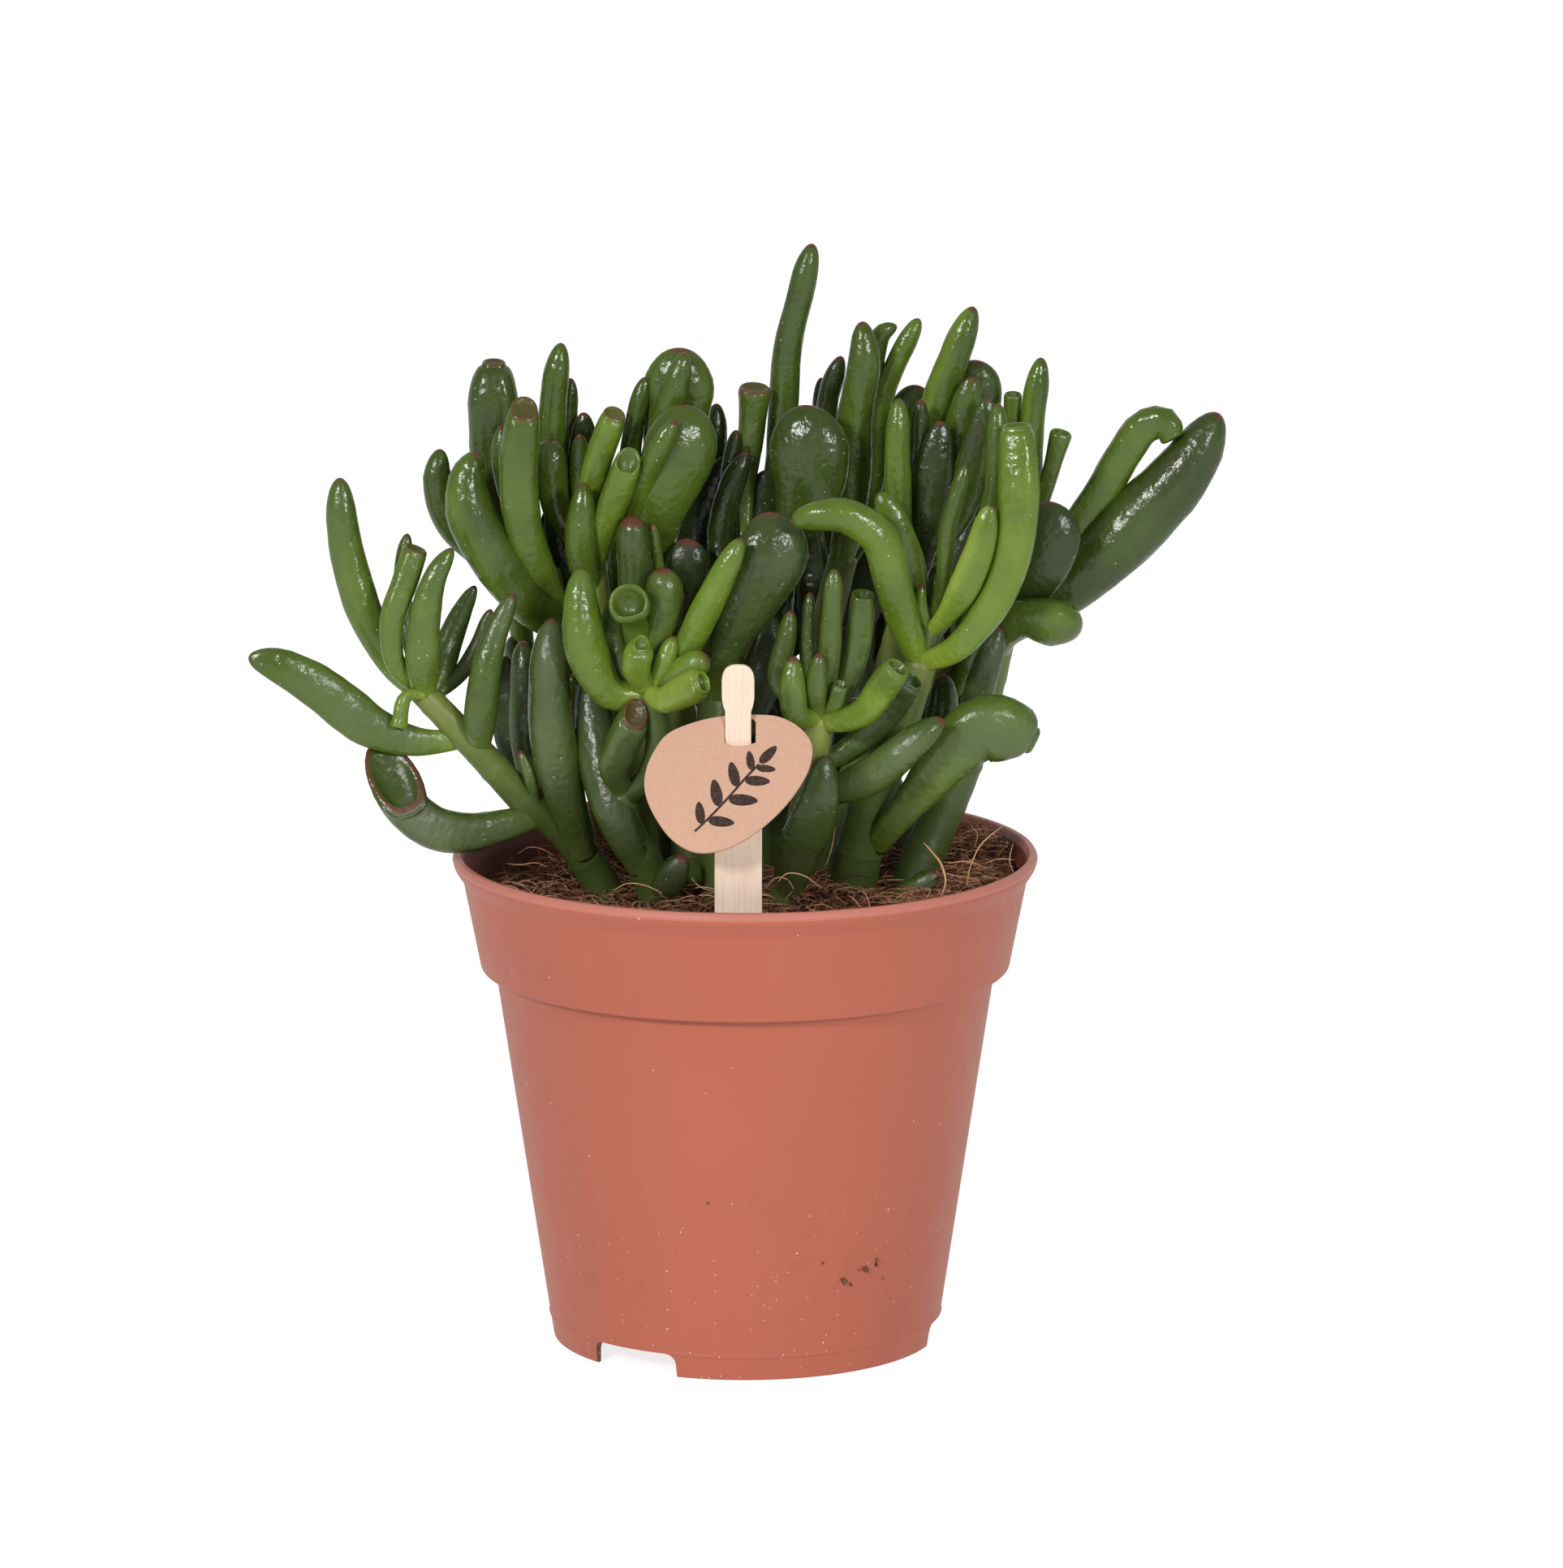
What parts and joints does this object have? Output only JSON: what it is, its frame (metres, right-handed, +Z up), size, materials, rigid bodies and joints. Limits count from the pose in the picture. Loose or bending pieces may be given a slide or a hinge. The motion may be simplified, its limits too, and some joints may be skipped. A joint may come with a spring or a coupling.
{
  "type": "potted succulent",
  "caption": "Succulent with finger, trumpet and paddle leaves on several stems, rooted in coir in a tapered plastic nursery pot, with a wooden label stick and a small card.",
  "frame": {"origin": "middle of the pot's foot, on the surface that the pot stands on", "axes": "+Z up along the pot's axis, +X to the right and +Y away for someone facing the label"},
  "size_m": [0.1977, 0.12, 0.2255],
  "materials": {
    "pot_plastic": "satin terracotta-coloured polypropylene",
    "coir": "loose brown coir fibre and crumbs",
    "stick_wood": "bare pale wood",
    "card": "uncoated kraft card",
    "leaf": "smooth glossy succulent skin, green with red-brown tips"
  },
  "bodies": {
    "root": {"pot": "pot_plastic", "soil": "coir", "label_stick": "stick_wood", "label_card": "card", "shoot_left": "leaf", "shoot_left_rosette": "leaf", "shoot_left_middle": "leaf", "shoot_upper_left": "leaf", "shoot_centre_left": "leaf", "shoot_centre": "leaf", "shoot_right_rosette": "leaf", "shoot_right": "leaf", "shoot_right_low": "leaf", "shoot_right_back": "leaf", "shoot_middle_back": "leaf", "shoot_back_1": "leaf", "shoot_back_2": "leaf", "shoot_back_3": "leaf", "shoot_back_4": "leaf", "shoot_back_5": "leaf"}
  },
  "joints": []
}
